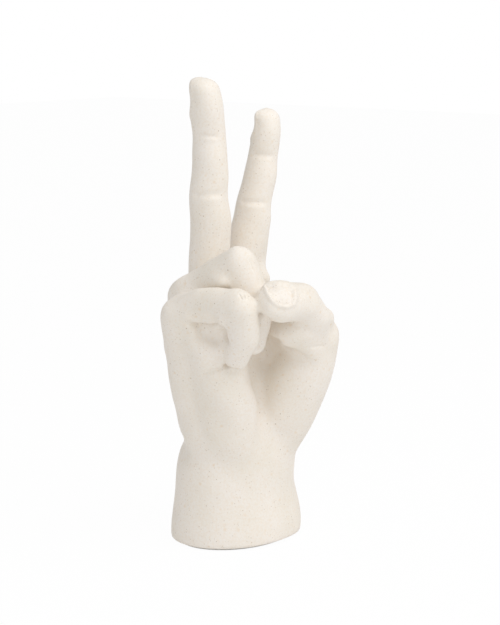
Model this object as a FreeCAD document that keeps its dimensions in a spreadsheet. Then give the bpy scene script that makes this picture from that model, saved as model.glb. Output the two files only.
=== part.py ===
"""Ceramic hand sculpture: a right hand making a V sign, standing on its wrist.

Millimetres. Origin at the centre of the foot, on the surface the sculpture stands on.
+X runs to the thumb's side, -Y is the palm's side, +Z is up.
The palm and wrist are one hollow casting. The five digits are cast apart and luted on
at flat seats. A plate closes the pour opening, and felt covers the foot.
"""
import FreeCAD, Part
import math
import os

SIZES = {
    # wrist, palm and casting
    "wrist_breadth": 72.6,
    "wrist_depth": 58,
    "palm_breadth": 76,
    "palm_depth": 36,
    "hand_rise": 120.3,
    "thenar_breadth": 34,
    "hypothenar_breadth": 31,
    "web_span": 44,
    "web_thickness": 20,
    "hand_wall": 5,
    "finger_wall": 4,
    "foot_round": 2.4,
    # closing plate and felt
    "plate_thickness": 5,
    "plate_ledge": 1.5,
    "plate_clearance": 0.15,
    "drain_diameter": 8,
    "felt_thickness": 1.2,
    "felt_inset": 3.5,
    # middle finger: breadth, then length, bend and lean of each bone
    "middle_breadth": 18.8,
    "middle_length_1": 46.3,
    "middle_length_2": 29,
    "middle_length_3": 30.3,
    "middle_bend_1": 0.8,
    "middle_bend_2": 3,
    "middle_bend_3": 3,
    "middle_lean_1": -1.9,
    "middle_lean_2": -1.5,
    "middle_lean_3": -13.5,
    # index finger
    "index_breadth": 17.8,
    "index_length_1": 42.6,
    "index_length_2": 23.6,
    "index_length_3": 26,
    "index_bend_1": 2.9,
    "index_bend_2": 5.6,
    "index_bend_3": 7,
    "index_lean_1": 9,
    "index_lean_2": 11,
    "index_lean_3": 1.5,
    # ring finger, folded
    "ring_breadth": 18,
    "ring_length_1": 36.2,
    "ring_length_2": 22.5,
    "ring_length_3": 24.5,
    "ring_bend_1": 58.5,
    "ring_bend_2": 154.8,
    "ring_bend_3": 191.4,
    "ring_lean_1": 1.6,
    "ring_lean_2": 6.4,
    "ring_lean_3": 6.6,
    # little finger, folded
    "little_breadth": 15.8,
    "little_length_1": 35,
    "little_length_2": 14.8,
    "little_length_3": 20,
    "little_bend_1": 78.3,
    "little_bend_2": 182.9,
    "little_bend_3": 213.8,
    "little_lean_1": 3.3,
    "little_lean_2": 14,
    "little_lean_3": 14.9,
    # thumb: the first bone lies in the palm
    "thumb_breadth": 19.4,
    "thumb_length_1": 61.5,
    "thumb_length_2": 31.1,
    "thumb_length_3": 28.5,
    "thumb_bend_1": 28.6,
    "thumb_bend_2": 16.8,
    "thumb_bend_3": 8,
    "thumb_lean_1": 4.5,
    "thumb_lean_2": -46.3,
    "thumb_lean_3": -81,
}

doc = FreeCAD.newDocument("ceramic_hand")
sheet = doc.addObject("Spreadsheet::Sheet", "sizes")
for row, (alias, value) in enumerate(SIZES.items(), start=1):
    sheet.set(f"A{row}", alias)
    sheet.set(f"B{row}", str(value))
    sheet.setAlias(f"B{row}", alias)
doc.recompute()

# Stations of the palm's core. Each row: rise over hand_rise, sideways over palm_breadth,
# dorsal over palm_depth, then half breadth and half depth over the two sizes that are named.
WRIST_SHARES = [
    (0.000, 0.000, 0.000, 0.500, 0.500),
    (0.057, 0.000, 0.000, 0.500, 0.500),
    (0.123, -0.004, 0.006, 0.482, 0.479),
    (0.198, -0.008, 0.011, 0.457, 0.455),
    (0.273, -0.005, 0.006, 0.452, 0.448),
    (0.347, 0.010, -0.020, 0.440, 0.440),
]
PALM_SHARES = [
    (0.422, 0.005, -0.020, 0.412, 0.645),
    (0.505, -0.040, 0.040, 0.425, 0.575),
    (0.613, -0.067, 0.080, 0.432, 0.520),
    (0.722, -0.076, 0.125, 0.436, 0.485),
    (0.821, -0.093, 0.160, 0.452, 0.440),
    (0.888, -0.118, 0.180, 0.464, 0.390),
    (0.934, -0.130, 0.190, 0.415, 0.320),
    (0.968, -0.090, 0.205, 0.300, 0.285),
]
# The core's stations in one run, each with the region whose sizes it follows.
CORE_SHARES = [("wrist", row) for row in WRIST_SHARES] + [("palm", row) for row in PALM_SHARES]
HYPOTHENAR_SHARES = [
    (0.240, -0.026, -0.306, 0.45, 0.40),
    (0.356, -0.110, -0.280, 0.48, 0.46),
    (0.472, -0.224, -0.290, 0.50, 0.47),
    (0.613, -0.290, -0.333, 0.485, 0.465),
    (0.755, -0.355, -0.290, 0.452, 0.435),
    (0.840, -0.405, -0.200, 0.39, 0.38),
    (0.890, -0.420, -0.120, 0.28, 0.27),
]
# Where each bone of the palm starts, and where each knuckle lies.
HEEL_SHARES = {
    "index": (0.406, 0.118, 0.083),
    "middle": (0.406, 0.026, 0.111),
    "ring": (0.406, -0.105, 0.111),
    "little": (0.380, -0.215, 0.070),
}
KNUCKLE_SHARES = {
    "index": (0.983, 0.231, 0.311),
    "middle": (1.000, -0.070, 0.344),
    "ring": (0.986, -0.309, 0.278),
    "little": (0.942, -0.507, 0.028),
}
THUMB_HEEL_SHARES = (0.381, 0.184, -0.222)

# Stations along a bone: place over its length, half breadth and half thickness over the
# digit's breadth, and for a straight finger the palmward push of the pad.
RAY_SHARES = {
    "index": [(0, .79, .78), (.26, .73, .71), (.50, .69, .67), (.70, .665, .65), (.86, .645, .64)],
    "middle": [(0, .74, .73), (.26, .69, .67), (.50, .65, .63), (.70, .625, .61), (.86, .605, .60)],
    "ring": [(0, .74, .73), (.27, .68, .67), (.52, .65, .64), (.72, .62, .61), (.88, .60, .59),
             (1, .585, .575)],
    "little": [(0, .74, .73), (.27, .77, .76), (.52, .76, .75), (.72, .72, .71), (.88, .69, .68),
               (1, .66, .65)],
}
STRAIGHT_SHARES = {
    "middle": [
        [(0, .562, .557, 0), (.20, .550, .545, 0), (.40, .545, .540, 0), (.60, .528, .523, 0),
         (.80, .500, .495, 0)],
        [(0, .495, .480, -.01), (.33, .462, .455, .01), (.66, .460, .455, .01)],
        [(0, .440, .412, 0), (.28, .440, .415, .015), (.52, .433, .412, .03), (.72, .420, .385, .02)],
    ],
    "index": [
        [(0, .650, .635, 0), (.21, .632, .620, 0), (.42, .600, .590, 0), (.62, .548, .543, 0),
         (.81, .505, .495, 0)],
        [(0, .495, .475, -.01), (.36, .465, .450, .01), (.70, .448, .435, .01)],
        [(0, .425, .393, 0), (.27, .420, .395, .02), (.50, .405, .388, .03), (.70, .375, .345, .02)],
    ],
}
FOLDED_SHARES = {
    "ring": [
        [(0, .548, .545), (.30, .525, .520), (.60, .505, .500), (.83, .495, .488), (1, .488, .480)],
        [(0, .478, .470), (.35, .468, .460), (.68, .455, .448), (1, .440, .430)],
        [(0, .428, .420), (.26, .436, .425), (.50, .420, .400), (.70, .390, .365)],
    ],
    "little": [
        [(0, .600, .595), (.30, .555, .550), (.60, .525, .520), (.83, .508, .503), (1, .500, .494)],
        [(0, .488, .480), (.35, .480, .472), (.70, .465, .457), (1, .450, .440)],
        [(0, .438, .430), (.25, .444, .434), (.47, .430, .420), (.68, .405, .390)],
    ],
    "thumb": [
        [(0, .545, .530), (.30, .510, .490), (.60, .495, .475), (.83, .488, .468), (1, .482, .465)],
        [(0, .476, .450), (.22, .485, .435), (.40, .485, .412), (.57, .470, .380), (.72, .430, .340)],
    ],
}
THENAR_SHARES = [
    (0, .485, .47), (.25, .515, .50), (.50, .490, .475), (.70, .445, .435), (.86, .385, .38),
    (1, .33, .325),
]
WEB_SHARES = [
    (0.400, 0.120, -0.100, 0.34, 0.47),
    (0.500, 0.165, -0.150, 0.34, 0.52),
    (0.600, 0.185, -0.205, 0.40, 0.50),
    (0.700, 0.200, -0.260, 0.45, 0.48),
    (0.790, 0.210, -0.320, 0.48, 0.46),
    (0.850, 0.212, -0.340, 0.46, 0.38),
    (0.892, 0.212, -0.340, 0.41, 0.34),
    (0.922, 0.212, -0.340, 0.33, 0.27),
    (0.944, 0.212, -0.340, 0.21, 0.17),
]
# Radius of the ball at each bend of a folded digit, from its knuckle outwards, over its breadth.
BALL_SHARES = {"ring": (.605, .515, .465), "little": (.680, .525, .475), "thumb": (.570, .505)}
# Seats lie past the knuckle by this share of the digit's breadth, clear of its ball.
SEAT_SHARE = {"ring": .62, "little": .70, "thumb": .61}
STUB_SHARES = {"ring": (.570, .565), "little": (.640, .635), "thumb": (.560, .545)}
QUARTER_TURN = 90
# A fingertip is an ellipse's quarter: reach and narrowing at each of its stations.
TIP_SHARES = [(share, math.sqrt(1 - share ** 2)) for share in (.45, .80, .96)]
# A higher degree lets a surface swing between stations that are unevenly spaced.
LOFT_DEGREE = 2
BORE_ROOT_SHARES = (.62, .75, .88)
BORE_END_SHARE = .52
THENAR_HOLLOW_END_SHARE = .75


def size(name):
    """A named size's number, for the few places that a formula can't reach."""
    return float(sheet.get(name))


def product(name, share):
    """A formula: a share of a named size."""
    return f"sizes.{name} * {share}"


def palm_place(shares):
    """Formulas for a place that is given by its rise, its sideways and its dorsal share."""
    rise, sideways, dorsal = shares
    return (product("palm_breadth", sideways), product("palm_depth", dorsal),
            "sizes.felt_thickness + " + product("hand_rise", rise))


def heading(digit, bone):
    """Formulas for the direction of one bone."""
    bend, lean = f"sizes.{digit}_bend_{bone}", f"sizes.{digit}_lean_{bone}"
    return (f"sin({lean})", f"-cos({lean}) * sin({bend})", f"cos({lean}) * cos({bend})")


def beyond(place, way, distance):
    """Formulas for the place at a distance from another, along a direction."""
    return tuple(f"{start} + ({distance}) * ({part})" for start, part in zip(place, way))


def between(start, end, share):
    """Formulas for the place at a share of the way from one place to another."""
    return tuple(f"({a}) * (1 - {share}) + ({b}) * {share}" for a, b in zip(start, end))


def bone_end(digit, bone):
    """Formulas for the far end of a bone."""
    if bone == 0:
        shares = THUMB_HEEL_SHARES if digit == "thumb" else KNUCKLE_SHARES[digit]
        return palm_place(shares)
    return beyond(bone_end(digit, bone - 1), heading(digit, bone), f"sizes.{digit}_length_{bone}")


def bone_turn(digit, bone, roll=0):
    """Rotation that lays a section square to a bone, with its breadth across the digit."""
    bend = FreeCAD.Rotation(FreeCAD.Vector(1, 0, 0), size(f"{digit}_bend_{bone}"))
    lean = FreeCAD.Rotation(FreeCAD.Vector(0, 1, 0), size(f"{digit}_lean_{bone}"))
    spin = FreeCAD.Rotation(FreeCAD.Vector(0, 0, 1), roll)
    return bend * lean * spin


def bind_place(item, place, turn=None):
    """Set an object's rotation, and bind its position to formulas."""
    item.Placement = FreeCAD.Placement(FreeCAD.Vector(0, 0, 0), turn or FreeCAD.Rotation())
    for axis, formula in zip("xyz", place):
        item.setExpression(f".Placement.Base.{axis}", formula)
    return item


def section(name, place, turn, half_breadth, half_depth):
    """One elliptical station of a loft."""
    item = doc.addObject("Part::Ellipse", name)
    item.setExpression("MajorRadius", half_breadth)
    item.setExpression("MinorRadius", half_depth)
    return bind_place(item, place, turn)


def tip(name, digit, row, start, way, length, turn):
    """Stations of a fingertip past the digit's last station, and the point that closes it."""
    share, breadth, depth = row
    end = beyond(start, way, f"({length}) * {share}")
    items = []
    for number, (reach, narrowing) in enumerate(TIP_SHARES, start=1):
        place = beyond(end, way, product(f"{digit}_breadth", depth) + f" * {reach}")
        items.append(section(f"{name}_tip_{number}", place, turn,
                             product(f"{digit}_breadth", breadth) + f" * {narrowing}",
                             product(f"{digit}_breadth", depth) + f" * {narrowing}"))
    point = doc.addObject("Part::Vertex", f"{name}_tip_point")
    items.append(bind_place(point, beyond(end, way, product(f"{digit}_breadth", depth))))
    return items


def ball(name, digit, place, share):
    """The round of a bend, a little fuller than the bones that meet in it."""
    item = doc.addObject("Part::Sphere", name)
    item.setExpression("Radius", product(f"{digit}_breadth", share))
    return bind_place(item, place)


def loft(name, sections):
    """A smooth solid through its stations."""
    item = doc.addObject("Part::Loft", name)
    item.Sections = sections
    item.Solid = True
    item.MaxDegree = LOFT_DEGREE
    return item


def fuse(name, items):
    item = doc.addObject("Part::MultiFuse", name)
    item.Shapes = items
    item.Refine = False
    return item


def cut(name, base, tool):
    item = doc.addObject("Part::Cut", name)
    item.Base = base
    item.Tool = tool
    item.Refine = False
    return item


def finish(item, label):
    """Name a finished piece. The label is also its file's name."""
    item.Label = label
    return item


def core_sections(name, inset, rows):
    """Level stations of the wrist and palm, drawn in by a formula."""
    items = []
    for number, (region, (rise, sideways, dorsal, breadth, depth)) in enumerate(rows, start=1):
        items.append(section(f"{name}_{number}", palm_place((rise, sideways, dorsal)), None,
                             product(f"{region}_breadth", breadth) + inset,
                             product(f"{region}_depth", depth) + inset))
    return items


def bone_sections(name, digit, bone, rows, start, length, roll=0):
    """Stations along a bone, from a start place, over a length formula."""
    way, turn = heading(digit, bone), bone_turn(digit, bone, roll)
    items = []
    for number, (share, breadth, depth) in enumerate(rows, start=1):
        items.append(section(f"{name}_{number}", beyond(start, way, f"({length}) * {share}"), turn,
                             product(f"{digit}_breadth", breadth), product(f"{digit}_breadth", depth)))
    return items


def palm_point(shares):
    """A place in the palm as numbers."""
    rise, sideways, dorsal = shares
    return FreeCAD.Vector(size("palm_breadth") * sideways, size("palm_depth") * dorsal,
                          size("felt_thickness") + size("hand_rise") * rise)


def ray_turn(digit):
    """Rotation that lays a section square to a digit's bone in the palm."""
    way = (palm_point(KNUCKLE_SHARES[digit]) - palm_point(HEEL_SHARES[digit])).normalize()
    across = FreeCAD.Vector(1, 0, 0)
    side = (across - way * across.dot(way)).normalize()
    return FreeCAD.Rotation(side, way.cross(side), way, "ZXY")


def palm_core():
    """The wrist and the middle of the palm, with the foot's edge rounded."""
    body = loft("core_loft", core_sections("core", "", CORE_SHARES))
    doc.recompute()
    foot = min(range(len(body.Shape.Edges)), key=lambda n: body.Shape.Edges[n].CenterOfMass.z)
    rounded = doc.addObject("Part::Fillet", "core_rounded")
    rounded.Base = body
    rounded.Edges = [(foot + 1, size("foot_round"), size("foot_round"))]
    return rounded


def palm_ray(digit):
    """The flesh over one bone of the palm, up to its knuckle."""
    start, end, turn = palm_place(HEEL_SHARES[digit]), bone_end(digit, 0), ray_turn(digit)
    items = []
    for number, (share, breadth, depth) in enumerate(RAY_SHARES[digit], start=1):
        items.append(section(f"{digit}_ray_{number}", between(start, end, share), turn,
                             product(f"{digit}_breadth", breadth), product(f"{digit}_breadth", depth)))
    if digit in STRAIGHT_SHARES:
        breadth, depth = STRAIGHT_SHARES[digit][0][0][1:3]
        items.append(section(f"{digit}_ray_seat", end, bone_turn(digit, 1),
                             product(f"{digit}_breadth", breadth), product(f"{digit}_breadth", depth)))
    return loft(f"{digit}_ray", items)


def folded_bone(digit):
    """The number of the first bone that a folded digit has outside the palm."""
    return 2 if digit == "thumb" else 1


def digit_roll(digit):
    return QUARTER_TURN if digit == "thumb" else 0


def seat_place(digit):
    """Where a folded digit is luted on: past its knuckle, square to its first free bone."""
    bone = folded_bone(digit)
    return beyond(bone_end(digit, bone - 1), heading(digit, bone),
                  product(f"{digit}_breadth", SEAT_SHARE[digit]))


def stub(digit):
    """The palm's short stub under a folded digit, up to the seat, and the knuckle's ball."""
    bone = folded_bone(digit)
    knuckle = bone_end(digit, bone - 1)
    breadth, depth = STUB_SHARES[digit]
    rows = [(0, breadth, depth), (1, *FOLDED_SHARES[digit][0][0][1:])]
    sections = bone_sections(f"{digit}_stub", digit, bone, rows, knuckle,
                             product(f"{digit}_breadth", SEAT_SHARE[digit]), digit_roll(digit))
    knuckle_ball = ball(f"{digit}_knuckle", digit, knuckle, BALL_SHARES[digit][0])
    return [loft(f"{digit}_stub", sections), knuckle_ball]


def thenar():
    """The thumb's muscle, along its first bone."""
    way, turn = heading("thumb", 1), bone_turn("thumb", 1)
    items = []
    for number, (share, breadth, depth) in enumerate(THENAR_SHARES, start=1):
        place = beyond(bone_end("thumb", 0), way, product("thumb_length_1", share))
        items.append(section(f"thenar_{number}", place, turn, product("thenar_breadth", breadth),
                             product("thenar_breadth", depth)))
    return loft("thenar", items)


def hypothenar():
    """The muscle on the little finger's side."""
    items = []
    for number, (rise, sideways, dorsal, breadth, depth) in enumerate(HYPOTHENAR_SHARES, start=1):
        items.append(section(f"hypothenar_{number}", palm_place((rise, sideways, dorsal)), None,
                             product("hypothenar_breadth", breadth),
                             product("hypothenar_breadth", depth)))
    return loft("hypothenar", items)


def web():
    """The curtain of flesh between the thumb's muscle and the index finger's bone."""
    across = FreeCAD.Rotation(FreeCAD.Vector(0, 0, 1), QUARTER_TURN)
    items = []
    for number, (rise, sideways, dorsal, span, thickness) in enumerate(WEB_SHARES, start=1):
        items.append(section(f"web_{number}", palm_place((rise, sideways, dorsal)), across,
                             product("web_span", span), product("web_thickness", thickness)))
    return loft("web", items)


def straight_sections(digit, name, inset="", last_share=1):
    """Stations of a raised finger from its knuckle up, drawn in by a formula."""
    items = []
    for bone, rows in enumerate(STRAIGHT_SHARES[digit], start=1):
        start, way, turn = bone_end(digit, bone - 1), heading(digit, bone), bone_turn(digit, bone)
        for number, (share, breadth, depth, push) in enumerate(rows, start=1):
            if bone == len(STRAIGHT_SHARES[digit]) and share > last_share:
                continue
            x, y, z = beyond(start, way, product(f"{digit}_length_{bone}", share))
            place = (x, f"{y} - " + product(f"{digit}_breadth", push), z)
            items.append(section(f"{name}_{bone}_{number}", place, turn,
                                 product(f"{digit}_breadth", breadth) + inset,
                                 product(f"{digit}_breadth", depth) + inset))
    return items


def straight_finger(digit):
    """A raised finger's outer shape."""
    share, breadth, depth, push = STRAIGHT_SHARES[digit][-1][-1]
    x, y, z = bone_end(digit, 2)
    start = (x, f"{y} - " + product(f"{digit}_breadth", push), z)
    items = straight_sections(digit, digit)
    items += tip(digit, digit, (share, breadth, depth), start, heading(digit, 3),
                 f"sizes.{digit}_length_3", bone_turn(digit, 3))
    return loft(f"{digit}_outer", items)


def finger_bore(digit):
    """A raised finger's hollow, which runs down into the palm's."""
    inset = " - sizes.finger_wall"
    start, end, turn = palm_place(HEEL_SHARES[digit]), bone_end(digit, 0), ray_turn(digit)
    breadth, depth = STRAIGHT_SHARES[digit][0][0][1:3]
    items = []
    for number, share in enumerate(BORE_ROOT_SHARES, start=1):
        items.append(section(f"{digit}_bore_root_{number}", between(start, end, share), turn,
                             product(f"{digit}_breadth", breadth) + inset,
                             product(f"{digit}_breadth", depth) + inset))
    items += straight_sections(digit, f"{digit}_bore", inset, BORE_END_SHARE)
    return loft(f"{digit}_bore", items)


def folded_digit(digit):
    """A folded digit's outer shape: a tapering solid for each bone, and a ball at each bend."""
    parts = []
    first = folded_bone(digit)
    for offset, rows in enumerate(FOLDED_SHARES[digit]):
        bone = first + offset
        start, length = bone_end(digit, bone - 1), f"sizes.{digit}_length_{bone}"
        if offset == 0:
            start = seat_place(digit)
            length += " - " + product(f"{digit}_breadth", SEAT_SHARE[digit])
        else:
            parts.append(ball(f"{digit}_bend_{bone}", digit, start, BALL_SHARES[digit][offset]))
        name, roll = f"{digit}_bone_{bone}", digit_roll(digit)
        items = bone_sections(name, digit, bone, rows, start, length, roll)
        if rows is FOLDED_SHARES[digit][-1]:
            items += tip(name, digit, rows[-1], start, heading(digit, bone), length,
                         bone_turn(digit, bone, roll))
        parts.append(loft(name, items))
    return fuse(f"{digit}_outer", parts)


def foot_prism(name, inset, start, thickness):
    """An upright disc of the foot's outline, drawn in by a formula."""
    outline = section(f"{name}_outline", ("0", "0", start), None,
                      "sizes.wrist_breadth / 2" + inset, "sizes.wrist_depth / 2" + inset)
    item = doc.addObject("Part::Extrusion", name)
    item.Base = outline
    item.Dir = FreeCAD.Vector(0, 0, 1)
    item.Solid = True
    item.setExpression("LengthFwd", thickness)
    return item


def hollow():
    """Everything that is empty inside the palm and wrist."""
    core = core_sections("core_hollow", " - sizes.hand_wall", CORE_SHARES[:-1])
    core[0].setExpression(".Placement.Base.z", "sizes.felt_thickness + sizes.plate_thickness")
    way, turn = heading("thumb", 1), bone_turn("thumb", 1)
    muscle = []
    for number, (share, breadth, depth) in enumerate(THENAR_SHARES, start=1):
        if share > THENAR_HOLLOW_END_SHARE:
            continue
        muscle.append(section(f"thenar_hollow_{number}",
                              beyond(bone_end("thumb", 0), way, product("thumb_length_1", share)), turn,
                              product("thenar_breadth", breadth) + " - sizes.hand_wall",
                              product("thenar_breadth", depth) + " - sizes.hand_wall"))
    return [loft("core_hollow", core), loft("thenar_hollow", muscle),
            foot_prism("pour_opening", " - sizes.hand_wall + sizes.plate_ledge", "sizes.felt_thickness",
                       "sizes.plate_thickness")]


def build():
    """Make every piece, and return the finished ones."""
    core, muscle = palm_core(), hypothenar()
    flesh = [core, muscle, thenar(), web()]
    flesh += [palm_ray(digit) for digit in KNUCKLE_SHARES]
    for digit in FOLDED_SHARES:
        flesh += stub(digit)
    bores = {digit: finger_bore(digit) for digit in STRAIGHT_SHARES}
    empty = fuse("hand_hollow", hollow() + list(bores.values()))
    palm = cut("palm_casting", fuse("palm_outer", flesh), empty)
    pieces = [finish(palm, "palm_and_wrist")]
    for digit, bore in bores.items():
        pieces.append(finish(cut(f"{digit}_casting", straight_finger(digit), bore), f"{digit}_finger"))

    ring = cut("ring_casting", folded_digit("ring"), fuse("ring_bed", [core, muscle]))
    little = cut("little_casting", folded_digit("little"), fuse("little_bed", [core, muscle, ring]))
    thumb = cut("thumb_casting", folded_digit("thumb"), fuse("thumb_bed", [ring, little]))
    pieces += [finish(ring, "ring_finger"), finish(little, "little_finger"), finish(thumb, "thumb")]

    plate = foot_prism("plate_disc", " - sizes.hand_wall + sizes.plate_ledge - sizes.plate_clearance",
                       "sizes.felt_thickness", "sizes.plate_thickness")
    drain = doc.addObject("Part::Cylinder", "drain")
    drain.setExpression("Radius", "sizes.drain_diameter / 2")
    drain.setExpression("Height", "sizes.felt_thickness * 2 + sizes.plate_thickness * 2")
    pieces.append(finish(cut("plate_casting", plate, drain), "foot_plate"))
    felt = foot_prism("felt_disc", " - sizes.felt_inset", "0", "sizes.felt_thickness")
    pieces.append(finish(felt, "felt_base"))
    return pieces


pieces = build()
doc.recompute()

failed = [item.Name for item in doc.Objects if {"Invalid", "Error"} & set(item.State)]
if failed:
    raise RuntimeError("these objects failed: " + ", ".join(failed))
os.makedirs("parts", exist_ok=True)
for piece in pieces:
    shape = piece.Shape
    if shape.isNull() or not shape.isValid():
        raise RuntimeError(f"{piece.Label} has no valid shape")
for piece in pieces:
    shape = piece.Shape
    shape.exportStep(f"parts/{piece.Label}.step")
    print(f"{piece.Label}: {len(shape.Solids)} solid, {shape.Volume:.0f} mm3")
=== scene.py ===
"""Ceramic hand sculpture: a right hand making a V sign, standing on its wrist.

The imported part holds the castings, the foot plate and the felt. This file gives them
their finish, and models the outside of the hand as one seamless ceramic skin: limbs are
laid out, melted together and smoothed, and then the creases, wrinkles and nails are
pressed in. Tables are in millimetres or in shares of the named sizes. Objects are in metres.
"""

import math

import bmesh
import bpy
import numpy as np
from bpy.props import FloatProperty, FloatVectorProperty, PointerProperty
from bpy.types import Operator, Panel, PropertyGroup
from mathutils import Matrix, Vector
from mathutils.bvhtree import BVHTree


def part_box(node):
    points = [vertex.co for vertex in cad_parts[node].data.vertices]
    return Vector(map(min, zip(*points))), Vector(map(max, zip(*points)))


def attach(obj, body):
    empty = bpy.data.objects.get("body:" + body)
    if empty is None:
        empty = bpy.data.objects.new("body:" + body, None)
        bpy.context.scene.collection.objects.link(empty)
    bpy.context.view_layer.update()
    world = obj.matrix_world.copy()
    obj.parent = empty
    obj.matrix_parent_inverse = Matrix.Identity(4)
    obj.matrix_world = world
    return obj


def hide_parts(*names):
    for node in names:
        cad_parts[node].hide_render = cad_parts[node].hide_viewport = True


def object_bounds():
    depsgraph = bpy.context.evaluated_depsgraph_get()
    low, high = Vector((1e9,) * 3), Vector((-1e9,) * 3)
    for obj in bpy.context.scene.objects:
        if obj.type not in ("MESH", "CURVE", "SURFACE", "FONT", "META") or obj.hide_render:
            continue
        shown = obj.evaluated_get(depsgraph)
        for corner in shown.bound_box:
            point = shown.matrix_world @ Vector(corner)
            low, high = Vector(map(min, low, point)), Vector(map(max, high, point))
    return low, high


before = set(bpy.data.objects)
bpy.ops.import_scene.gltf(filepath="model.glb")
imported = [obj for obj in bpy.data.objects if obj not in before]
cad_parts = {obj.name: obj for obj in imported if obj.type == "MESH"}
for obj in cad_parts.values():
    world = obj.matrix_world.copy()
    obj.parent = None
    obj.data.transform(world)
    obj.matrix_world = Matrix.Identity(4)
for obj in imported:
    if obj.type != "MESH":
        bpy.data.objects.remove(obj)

bl_info = {
    "name": "Ceramic hand",
    "version": (1, 0, 0),
    "blender": (4, 5, 0),
    "location": "3D View > Sidebar > Hand",
    "description": "Models and finishes a ceramic hand that makes a V sign",
    "category": "Object",
}

MM = 0.001
CAD_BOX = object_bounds()
SKIN_NODES = ("palm_and_wrist", "middle_finger", "index_finger", "ring_finger", "little_finger", "thumb")
SKIN_LOW = min(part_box(node)[0].z for node in SKIN_NODES)

# The photograph's frame, and the camera that fits it. The lens and the sensor are in millimetres.
PICTURE_WIDTH, PICTURE_HEIGHT = 500, 625
CAMERA_AZIMUTH, CAMERA_ELEVATION = -50, 10
CAMERA_LENS, CAMERA_SENSOR = 100, 36
CAMERA_DISTANCE = 0.847
CAMERA_TARGET = Vector((0.0044, -0.0052, 0.111))
FOCAL_PIXELS = CAMERA_LENS / CAMERA_SENSOR * PICTURE_HEIGHT

# Stations of the wrist and palm. Each row: rise over the palm's height, sideways over its
# breadth, dorsal over its depth, then half breadth and half depth over the region's own.
WRIST_SHARES = [
    (-.09, 0, 0, .5, .5),
    (0, 0, 0, .5, .5),
    (.057, 0, 0, .5, .5),
    (.123, -.004, .006, .482, .479),
    (.198, -.008, .011, .457, .455),
    (.273, -.005, .006, .452, .448),
    (.347, .01, -.02, .44, .44),
]
PALM_SHARES = [
    (.422, .005, -.02, .412, .645),
    (.505, -.04, .04, .425, .575),
    (.613, -.067, .08, .432, .52),
    (.722, -.076, .125, .436, .485),
    (.821, -.093, .16, .452, .44),
    (.888, -.118, .18, .464, .39),
    (.929, -.135, .19, .424, .29),
]
HYPOTHENAR_SHARES = [
    (.24, -.026, -.306, .45, .4),
    (.356, -.11, -.28, .48, .46),
    (.472, -.224, -.29, .5, .47),
    (.613, -.29, -.333, .485, .465),
    (.755, -.355, -.29, .452, .435),
    (.84, -.405, -.2, .39, .38),
    (.89, -.42, -.12, .28, .27),
]
WEB_SHARES = [
    (.4, .12, -.1, .34, .47),
    (.5, .165, -.15, .34, .52),
    (.6, .185, -.205, .4, .5),
    (.7, .2, -.26, .45, .48),
    (.79, .21, -.32, .48, .46),
    (.85, .212, -.34, .46, .38),
]
# Where the digits' bones start at the heel of the hand, and where their knuckles are.
HEEL_SHARES = {
    "index": (.406, .118, .083),
    "middle": (.406, .026, .111),
    "ring": (.406, -.105, .111),
    "little": (.38, -.215, .07),
    "thumb": (.381, .184, -.222),
}
KNUCKLE_SHARES = {
    "index": (.983, .231, .311),
    "middle": (1, -.07, .344),
    "ring": (.986, -.309, .278),
    "little": (.942, -.507, .028),
}

# Stations along a bone: place over its length, half breadth and half thickness over the
# digit's breadth, and where a pad stands out, its push towards the palm.
RAY_SHARES = {
    "index": [(0, .79, .78), (.26, .73, .71), (.5, .69, .67), (.7, .665, .65), (.86, .645, .64),
              (1, .65, .635)],
    "middle": [(0, .74, .73), (.26, .69, .67), (.5, .65, .63), (.7, .625, .61), (.86, .605, .6),
               (1, .562, .557)],
    "ring": [(0, .74, .73), (.27, .68, .67), (.52, .65, .64), (.72, .62, .61), (.88, .6, .59),
             (1, .585, .575)],
    "little": [(0, .74, .73), (.27, .77, .76), (.52, .76, .75), (.72, .72, .71), (.88, .69, .68),
               (1, .66, .65)],
    "thumb": [(0, .485, .47), (.25, .515, .5), (.5, .49, .475), (.7, .445, .435), (.86, .385, .38),
              (1, .33, .325)],
}
BONE_SHARES = {
    "middle": [
        [(0, .562, .557), (.2, .55, .545), (.4, .545, .54), (.6, .528, .523), (.8, .5, .495)],
        [(0, .495, .48, -.01), (.33, .462, .455, .01), (.66, .46, .455, .01)],
        [(0, .44, .412), (.28, .44, .415, .015), (.52, .433, .412, .03), (.72, .42, .385, .02)],
    ],
    "index": [
        [(0, .65, .635), (.21, .632, .62), (.42, .6, .59), (.62, .548, .543), (.81, .505, .495)],
        [(0, .495, .475, -.01), (.36, .465, .45, .01), (.7, .448, .435, .01)],
        [(0, .425, .393), (.27, .42, .395, .02), (.5, .405, .388, .03), (.7, .375, .345, .02)],
    ],
    "ring": [
        [(0, .59, .585), (.33, .535, .545), (.66, .505, .51), (.96, .5, .49)],
        [(0, .5, .49), (.5, .465, .465), (1, .445, .435)],
        [(0, .44, .435), (.38, .415, .405), (.7, .34, .33)],
    ],
    "little": [
        [(0, .66, .67), (.31, .57, .6), (.66, .525, .56), (.96, .5, .51)],
        [(0, .5, .51), (.45, .47, .48), (1, .455, .455)],
        [(0, .45, .455), (.35, .44, .43), (.68, .405, .39)],
    ],
    "thumb": [
        [(0, .57, .545), (.3, .52, .485), (.68, .49, .455), (1, .495, .45)],
        [(0, .5, .45), (.22, .51, .445), (.46, .53, .445), (.66, .52, .425),
         (.79, .455, .375), (.86, .36, .3)],
    ],
}
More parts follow.
